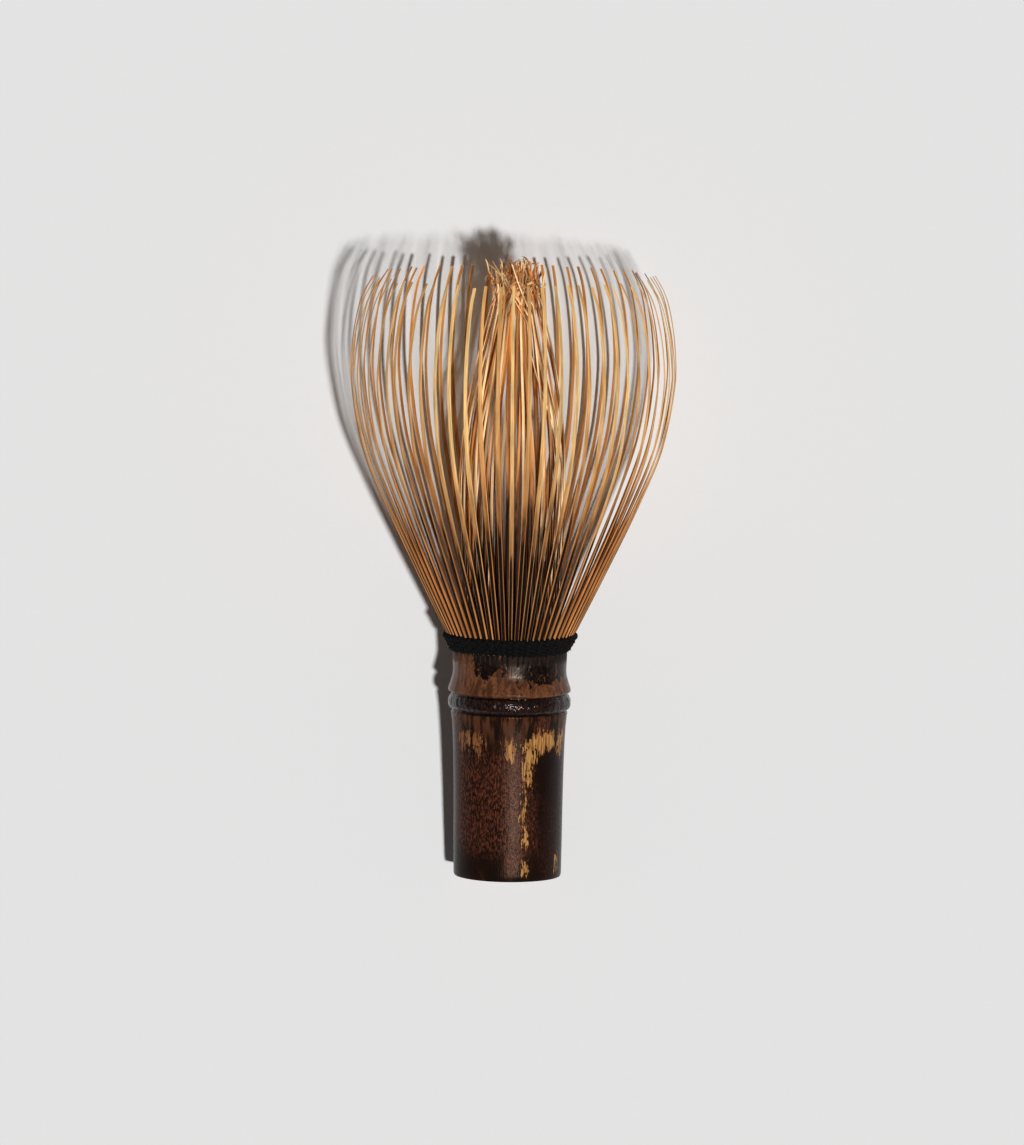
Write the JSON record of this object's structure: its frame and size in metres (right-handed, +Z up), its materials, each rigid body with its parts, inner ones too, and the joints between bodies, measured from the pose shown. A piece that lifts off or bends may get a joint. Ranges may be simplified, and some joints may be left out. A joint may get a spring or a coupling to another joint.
{
  "type": "bamboo tea whisk",
  "caption": "Tea whisk carved from one smoked bamboo culm: a hollow handle, a flared outer cage of springy tines, a narrow inner bundle, and a black thread binding.",
  "frame": {"origin": "centre of the cut end of the handle, on which the whisk stands", "axes": "+Z up along the culm's axis, from the handle to the tips of the tines; +X and +Y are across it"},
  "size_m": [0.0628, 0.0628, 0.1187],
  "materials": {
    "smoked_bamboo": "glossy smoked bamboo skin, dark brown with ochre patches",
    "tine_bamboo": "satin split bamboo, golden tan, smoked brown near the thread",
    "inner_tine_bamboo": "satin shaved bamboo, golden orange",
    "thread": "matte black cotton thread"
  },
  "bodies": {
    "culm": {"culm": "smoked_bamboo", "thread_outer": "thread", "thread_inner": "thread"},
    "outer_01": {"outer_tines_01": "tine_bamboo"},
    "outer_02": {"outer_tines_02": "tine_bamboo"},
    "outer_03": {"outer_tines_03": "tine_bamboo"},
    "outer_04": {"outer_tines_04": "tine_bamboo"},
    "outer_05": {"outer_tines_05": "tine_bamboo"},
    "outer_06": {"outer_tines_06": "tine_bamboo"},
    "outer_07": {"outer_tines_07": "tine_bamboo"},
    "outer_08": {"outer_tines_08": "tine_bamboo"},
    "outer_09": {"outer_tines_09": "tine_bamboo"},
    "outer_10": {"outer_tines_10": "tine_bamboo"},
    "outer_11": {"outer_tines_11": "tine_bamboo"},
    "outer_12": {"outer_tines_12": "tine_bamboo"},
    "outer_13": {"outer_tines_13": "tine_bamboo"},
    "outer_14": {"outer_tines_14": "tine_bamboo"},
    "outer_15": {"outer_tines_15": "tine_bamboo"},
    "outer_16": {"outer_tines_16": "tine_bamboo"},
    "outer_17": {"outer_tines_17": "tine_bamboo"},
    "outer_18": {"outer_tines_18": "tine_bamboo"},
    "outer_19": {"outer_tines_19": "tine_bamboo"},
    "outer_20": {"outer_tines_20": "tine_bamboo"},
    "outer_21": {"outer_tines_21": "tine_bamboo"},
    "outer_22": {"outer_tines_22": "tine_bamboo"},
    "outer_23": {"outer_tines_23": "tine_bamboo"},
    "outer_24": {"outer_tines_24": "tine_bamboo"},
    "outer_25": {"outer_tines_25": "tine_bamboo"},
    "outer_26": {"outer_tines_26": "tine_bamboo"},
    "outer_27": {"outer_tines_27": "tine_bamboo"},
    "outer_28": {"outer_tines_28": "tine_bamboo"},
    "outer_29": {"outer_tines_29": "tine_bamboo"},
    "outer_30": {"outer_tines_30": "tine_bamboo"},
    "outer_31": {"outer_tines_31": "tine_bamboo"},
    "outer_32": {"outer_tines_32": "tine_bamboo"},
    "inner_01": {"inner_tines_01": "inner_tine_bamboo"},
    "inner_02": {"inner_tines_02": "inner_tine_bamboo"},
    "inner_03": {"inner_tines_03": "inner_tine_bamboo"},
    "inner_04": {"inner_tines_04": "inner_tine_bamboo"},
    "inner_05": {"inner_tines_05": "inner_tine_bamboo"},
    "inner_06": {"inner_tines_06": "inner_tine_bamboo"},
    "inner_07": {"inner_tines_07": "inner_tine_bamboo"},
    "inner_08": {"inner_tines_08": "inner_tine_bamboo"},
    "inner_09": {"inner_tines_09": "inner_tine_bamboo"},
    "inner_10": {"inner_tines_10": "inner_tine_bamboo"},
    "inner_11": {"inner_tines_11": "inner_tine_bamboo"},
    "inner_12": {"inner_tines_12": "inner_tine_bamboo"},
    "inner_13": {"inner_tines_13": "inner_tine_bamboo"},
    "inner_14": {"inner_tines_14": "inner_tine_bamboo"},
    "inner_15": {"inner_tines_15": "inner_tine_bamboo"},
    "inner_16": {"inner_tines_16": "inner_tine_bamboo"}
  },
  "joints": [
    {"name": "outer_01_flex", "type": "hinge", "parent": "culm", "child": "outer_01", "pos_m": [0.01119, 0.00055, 0.0449], "axis": [-0.0491, 0.9988, 0], "range_deg": [-5, 5], "stiffness_Nm_per_rad": 0.012},
    {"name": "outer_02_flex", "type": "hinge", "parent": "culm", "child": "outer_02", "pos_m": [0.01086, 0.00272, 0.0449], "axis": [-0.243, 0.97, 0], "range_deg": [-5, 5], "stiffness_Nm_per_rad": 0.012},
    {"name": "outer_03_flex", "type": "hinge", "parent": "culm", "child": "outer_03", "pos_m": [0.01012, 0.00479, 0.0449], "axis": [-0.4276, 0.904, 0], "range_deg": [-5, 5], "stiffness_Nm_per_rad": 0.012},
    {"name": "outer_04_flex", "type": "hinge", "parent": "culm", "child": "outer_04", "pos_m": [0.009, 0.00667, 0.0449], "axis": [-0.5957, 0.8032, 0], "range_deg": [-5, 5], "stiffness_Nm_per_rad": 0.012},
    {"name": "outer_05_flex", "type": "hinge", "parent": "culm", "child": "outer_05", "pos_m": [0.00752, 0.0083, 0.0449], "axis": [-0.741, 0.6716, 0], "range_deg": [-5, 5], "stiffness_Nm_per_rad": 0.012},
    {"name": "outer_06_flex", "type": "hinge", "parent": "culm", "child": "outer_06", "pos_m": [0.00576, 0.00961, 0.0449], "axis": [-0.8577, 0.5141, 0], "range_deg": [-5, 5], "stiffness_Nm_per_rad": 0.012},
    {"name": "outer_07_flex", "type": "hinge", "parent": "culm", "child": "outer_07", "pos_m": [0.00377, 0.01055, 0.0449], "axis": [-0.9415, 0.3369, 0], "range_deg": [-5, 5], "stiffness_Nm_per_rad": 0.012},
    {"name": "outer_08_flex", "type": "hinge", "parent": "culm", "child": "outer_08", "pos_m": [0.00164, 0.01108, 0.0449], "axis": [-0.9892, 0.1467, 0], "range_deg": [-5, 5], "stiffness_Nm_per_rad": 0.012},
    {"name": "outer_09_flex", "type": "hinge", "parent": "culm", "child": "outer_09", "pos_m": [-0.00055, 0.01119, 0.0449], "axis": [-0.9988, -0.0491, 0], "range_deg": [-5, 5], "stiffness_Nm_per_rad": 0.012},
    {"name": "outer_10_flex", "type": "hinge", "parent": "culm", "child": "outer_10", "pos_m": [-0.00272, 0.01086, 0.0449], "axis": [-0.97, -0.243, 0], "range_deg": [-5, 5], "stiffness_Nm_per_rad": 0.012},
    {"name": "outer_11_flex", "type": "hinge", "parent": "culm", "child": "outer_11", "pos_m": [-0.00479, 0.01012, 0.0449], "axis": [-0.904, -0.4276, 0], "range_deg": [-5, 5], "stiffness_Nm_per_rad": 0.012},
    {"name": "outer_12_flex", "type": "hinge", "parent": "culm", "child": "outer_12", "pos_m": [-0.00667, 0.009, 0.0449], "axis": [-0.8032, -0.5957, 0], "range_deg": [-5, 5], "stiffness_Nm_per_rad": 0.012},
    {"name": "outer_13_flex", "type": "hinge", "parent": "culm", "child": "outer_13", "pos_m": [-0.0083, 0.00752, 0.0449], "axis": [-0.6716, -0.741, 0], "range_deg": [-5, 5], "stiffness_Nm_per_rad": 0.012},
    {"name": "outer_14_flex", "type": "hinge", "parent": "culm", "child": "outer_14", "pos_m": [-0.00961, 0.00576, 0.0449], "axis": [-0.5141, -0.8577, 0], "range_deg": [-5, 5], "stiffness_Nm_per_rad": 0.012},
    {"name": "outer_15_flex", "type": "hinge", "parent": "culm", "child": "outer_15", "pos_m": [-0.01055, 0.00377, 0.0449], "axis": [-0.3369, -0.9415, 0], "range_deg": [-5, 5], "stiffness_Nm_per_rad": 0.012},
    {"name": "outer_16_flex", "type": "hinge", "parent": "culm", "child": "outer_16", "pos_m": [-0.01108, 0.00164, 0.0449], "axis": [-0.1467, -0.9892, 0], "range_deg": [-5, 5], "stiffness_Nm_per_rad": 0.012},
    {"name": "outer_17_flex", "type": "hinge", "parent": "culm", "child": "outer_17", "pos_m": [-0.01119, -0.00055, 0.0449], "axis": [0.0491, -0.9988, 0], "range_deg": [-5, 5], "stiffness_Nm_per_rad": 0.012},
    {"name": "outer_18_flex", "type": "hinge", "parent": "culm", "child": "outer_18", "pos_m": [-0.01086, -0.00272, 0.0449], "axis": [0.243, -0.97, 0], "range_deg": [-5, 5], "stiffness_Nm_per_rad": 0.012},
    {"name": "outer_19_flex", "type": "hinge", "parent": "culm", "child": "outer_19", "pos_m": [-0.01012, -0.00479, 0.0449], "axis": [0.4276, -0.904, 0], "range_deg": [-5, 5], "stiffness_Nm_per_rad": 0.012},
    {"name": "outer_20_flex", "type": "hinge", "parent": "culm", "child": "outer_20", "pos_m": [-0.009, -0.00667, 0.0449], "axis": [0.5957, -0.8032, 0], "range_deg": [-5, 5], "stiffness_Nm_per_rad": 0.012},
    {"name": "outer_21_flex", "type": "hinge", "parent": "culm", "child": "outer_21", "pos_m": [-0.00752, -0.0083, 0.0449], "axis": [0.741, -0.6716, 0], "range_deg": [-5, 5], "stiffness_Nm_per_rad": 0.012},
    {"name": "outer_22_flex", "type": "hinge", "parent": "culm", "child": "outer_22", "pos_m": [-0.00576, -0.00961, 0.0449], "axis": [0.8577, -0.5141, 0], "range_deg": [-5, 5], "stiffness_Nm_per_rad": 0.012},
    {"name": "outer_23_flex", "type": "hinge", "parent": "culm", "child": "outer_23", "pos_m": [-0.00377, -0.01055, 0.0449], "axis": [0.9415, -0.3369, 0], "range_deg": [-5, 5], "stiffness_Nm_per_rad": 0.012},
    {"name": "outer_24_flex", "type": "hinge", "parent": "culm", "child": "outer_24", "pos_m": [-0.00164, -0.01108, 0.0449], "axis": [0.9892, -0.1467, 0], "range_deg": [-5, 5], "stiffness_Nm_per_rad": 0.012},
    {"name": "outer_25_flex", "type": "hinge", "parent": "culm", "child": "outer_25", "pos_m": [0.00055, -0.01119, 0.0449], "axis": [0.9988, 0.0491, 0], "range_deg": [-5, 5], "stiffness_Nm_per_rad": 0.012},
    {"name": "outer_26_flex", "type": "hinge", "parent": "culm", "child": "outer_26", "pos_m": [0.00272, -0.01086, 0.0449], "axis": [0.97, 0.243, 0], "range_deg": [-5, 5], "stiffness_Nm_per_rad": 0.012},
    {"name": "outer_27_flex", "type": "hinge", "parent": "culm", "child": "outer_27", "pos_m": [0.00479, -0.01012, 0.0449], "axis": [0.904, 0.4276, 0], "range_deg": [-5, 5], "stiffness_Nm_per_rad": 0.012},
    {"name": "outer_28_flex", "type": "hinge", "parent": "culm", "child": "outer_28", "pos_m": [0.00667, -0.009, 0.0449], "axis": [0.8032, 0.5957, 0], "range_deg": [-5, 5], "stiffness_Nm_per_rad": 0.012},
    {"name": "outer_29_flex", "type": "hinge", "parent": "culm", "child": "outer_29", "pos_m": [0.0083, -0.00752, 0.0449], "axis": [0.6716, 0.741, 0], "range_deg": [-5, 5], "stiffness_Nm_per_rad": 0.012},
    {"name": "outer_30_flex", "type": "hinge", "parent": "culm", "child": "outer_30", "pos_m": [0.00961, -0.00576, 0.0449], "axis": [0.5141, 0.8577, 0], "range_deg": [-5, 5], "stiffness_Nm_per_rad": 0.012},
    {"name": "outer_31_flex", "type": "hinge", "parent": "culm", "child": "outer_31", "pos_m": [0.01055, -0.00377, 0.0449], "axis": [0.3369, 0.9415, 0], "range_deg": [-5, 5], "stiffness_Nm_per_rad": 0.012},
    {"name": "outer_32_flex", "type": "hinge", "parent": "culm", "child": "outer_32", "pos_m": [0.01108, -0.00164, 0.0449], "axis": [0.1467, 0.9892, 0], "range_deg": [-5, 5], "stiffness_Nm_per_rad": 0.012},
    {"name": "inner_01_flex", "type": "hinge", "parent": "culm", "child": "inner_01", "pos_m": [0.009, 0.00134, 0.0449], "axis": [-0.1467, 0.9892, 0], "range_deg": [0, 3], "stiffness_Nm_per_rad": 0.005},
    {"name": "inner_02_flex", "type": "hinge", "parent": "culm", "child": "inner_02", "pos_m": [0.00781, 0.00468, 0.0449], "axis": [-0.5141, 0.8577, 0], "range_deg": [0, 3], "stiffness_Nm_per_rad": 0.005},
    {"name": "inner_03_flex", "type": "hinge", "parent": "culm", "child": "inner_03", "pos_m": [0.00542, 0.00731, 0.0449], "axis": [-0.8032, 0.5957, 0], "range_deg": [0, 3], "stiffness_Nm_per_rad": 0.005},
    {"name": "inner_04_flex", "type": "hinge", "parent": "culm", "child": "inner_04", "pos_m": [0.00221, 0.00883, 0.0449], "axis": [-0.97, 0.243, 0], "range_deg": [0, 3], "stiffness_Nm_per_rad": 0.005},
    {"name": "inner_05_flex", "type": "hinge", "parent": "culm", "child": "inner_05", "pos_m": [-0.00134, 0.009, 0.0449], "axis": [-0.9892, -0.1467, 0], "range_deg": [0, 3], "stiffness_Nm_per_rad": 0.005},
    {"name": "inner_06_flex", "type": "hinge", "parent": "culm", "child": "inner_06", "pos_m": [-0.00468, 0.00781, 0.0449], "axis": [-0.8577, -0.5141, 0], "range_deg": [0, 3], "stiffness_Nm_per_rad": 0.005},
    {"name": "inner_07_flex", "type": "hinge", "parent": "culm", "child": "inner_07", "pos_m": [-0.00731, 0.00542, 0.0449], "axis": [-0.5957, -0.8032, 0], "range_deg": [0, 3], "stiffness_Nm_per_rad": 0.005},
    {"name": "inner_08_flex", "type": "hinge", "parent": "culm", "child": "inner_08", "pos_m": [-0.00883, 0.00221, 0.0449], "axis": [-0.243, -0.97, 0], "range_deg": [0, 3], "stiffness_Nm_per_rad": 0.005},
    {"name": "inner_09_flex", "type": "hinge", "parent": "culm", "child": "inner_09", "pos_m": [-0.009, -0.00134, 0.0449], "axis": [0.1467, -0.9892, 0], "range_deg": [0, 3], "stiffness_Nm_per_rad": 0.005},
    {"name": "inner_10_flex", "type": "hinge", "parent": "culm", "child": "inner_10", "pos_m": [-0.00781, -0.00468, 0.0449], "axis": [0.5141, -0.8577, 0], "range_deg": [0, 3], "stiffness_Nm_per_rad": 0.005},
    {"name": "inner_11_flex", "type": "hinge", "parent": "culm", "child": "inner_11", "pos_m": [-0.00542, -0.00731, 0.0449], "axis": [0.8032, -0.5957, 0], "range_deg": [0, 3], "stiffness_Nm_per_rad": 0.005},
    {"name": "inner_12_flex", "type": "hinge", "parent": "culm", "child": "inner_12", "pos_m": [-0.00221, -0.00883, 0.0449], "axis": [0.97, -0.243, 0], "range_deg": [0, 3], "stiffness_Nm_per_rad": 0.005},
    {"name": "inner_13_flex", "type": "hinge", "parent": "culm", "child": "inner_13", "pos_m": [0.00134, -0.009, 0.0449], "axis": [0.9892, 0.1467, 0], "range_deg": [0, 3], "stiffness_Nm_per_rad": 0.005},
    {"name": "inner_14_flex", "type": "hinge", "parent": "culm", "child": "inner_14", "pos_m": [0.00468, -0.00781, 0.0449], "axis": [0.8577, 0.5141, 0], "range_deg": [0, 3], "stiffness_Nm_per_rad": 0.005},
    {"name": "inner_15_flex", "type": "hinge", "parent": "culm", "child": "inner_15", "pos_m": [0.00731, -0.00542, 0.0449], "axis": [0.5957, 0.8032, 0], "range_deg": [0, 3], "stiffness_Nm_per_rad": 0.005},
    {"name": "inner_16_flex", "type": "hinge", "parent": "culm", "child": "inner_16", "pos_m": [0.00883, -0.00221, 0.0449], "axis": [0.243, 0.97, 0], "range_deg": [0, 3], "stiffness_Nm_per_rad": 0.005}
  ]
}
